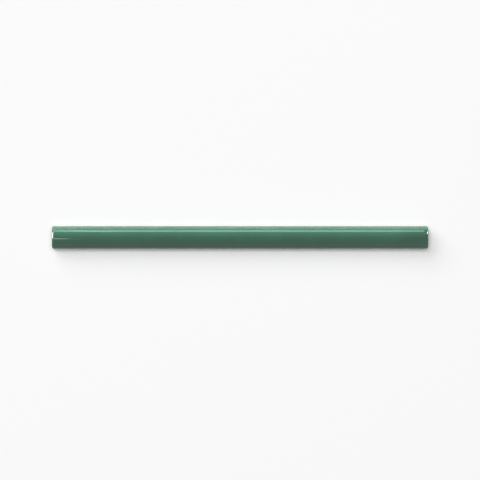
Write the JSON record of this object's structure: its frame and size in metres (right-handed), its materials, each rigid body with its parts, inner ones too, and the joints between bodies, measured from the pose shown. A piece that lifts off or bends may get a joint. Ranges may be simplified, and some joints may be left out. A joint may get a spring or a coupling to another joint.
{
  "type": "pencil liner tile",
  "caption": "Straight half-round bar of glazed ceramic that trims the edge of a wall tile field, with rounded ends and a flat grooved back.",
  "frame": {"origin": "middle of the flat back, on the surface that the tile is bonded to", "axes": "+X along the bar, +Y across it towards the side that the picture shows uppermost, +Z out of the wall through the half-round face"},
  "size_m": [0.2, 0.012, 0.011],
  "materials": {
    "green_glaze": "glossy translucent green glaze on a pale fired body; the back is bare bisque"
  },
  "bodies": {
    "root": {"pencil_liner": "green_glaze"}
  },
  "joints": []
}
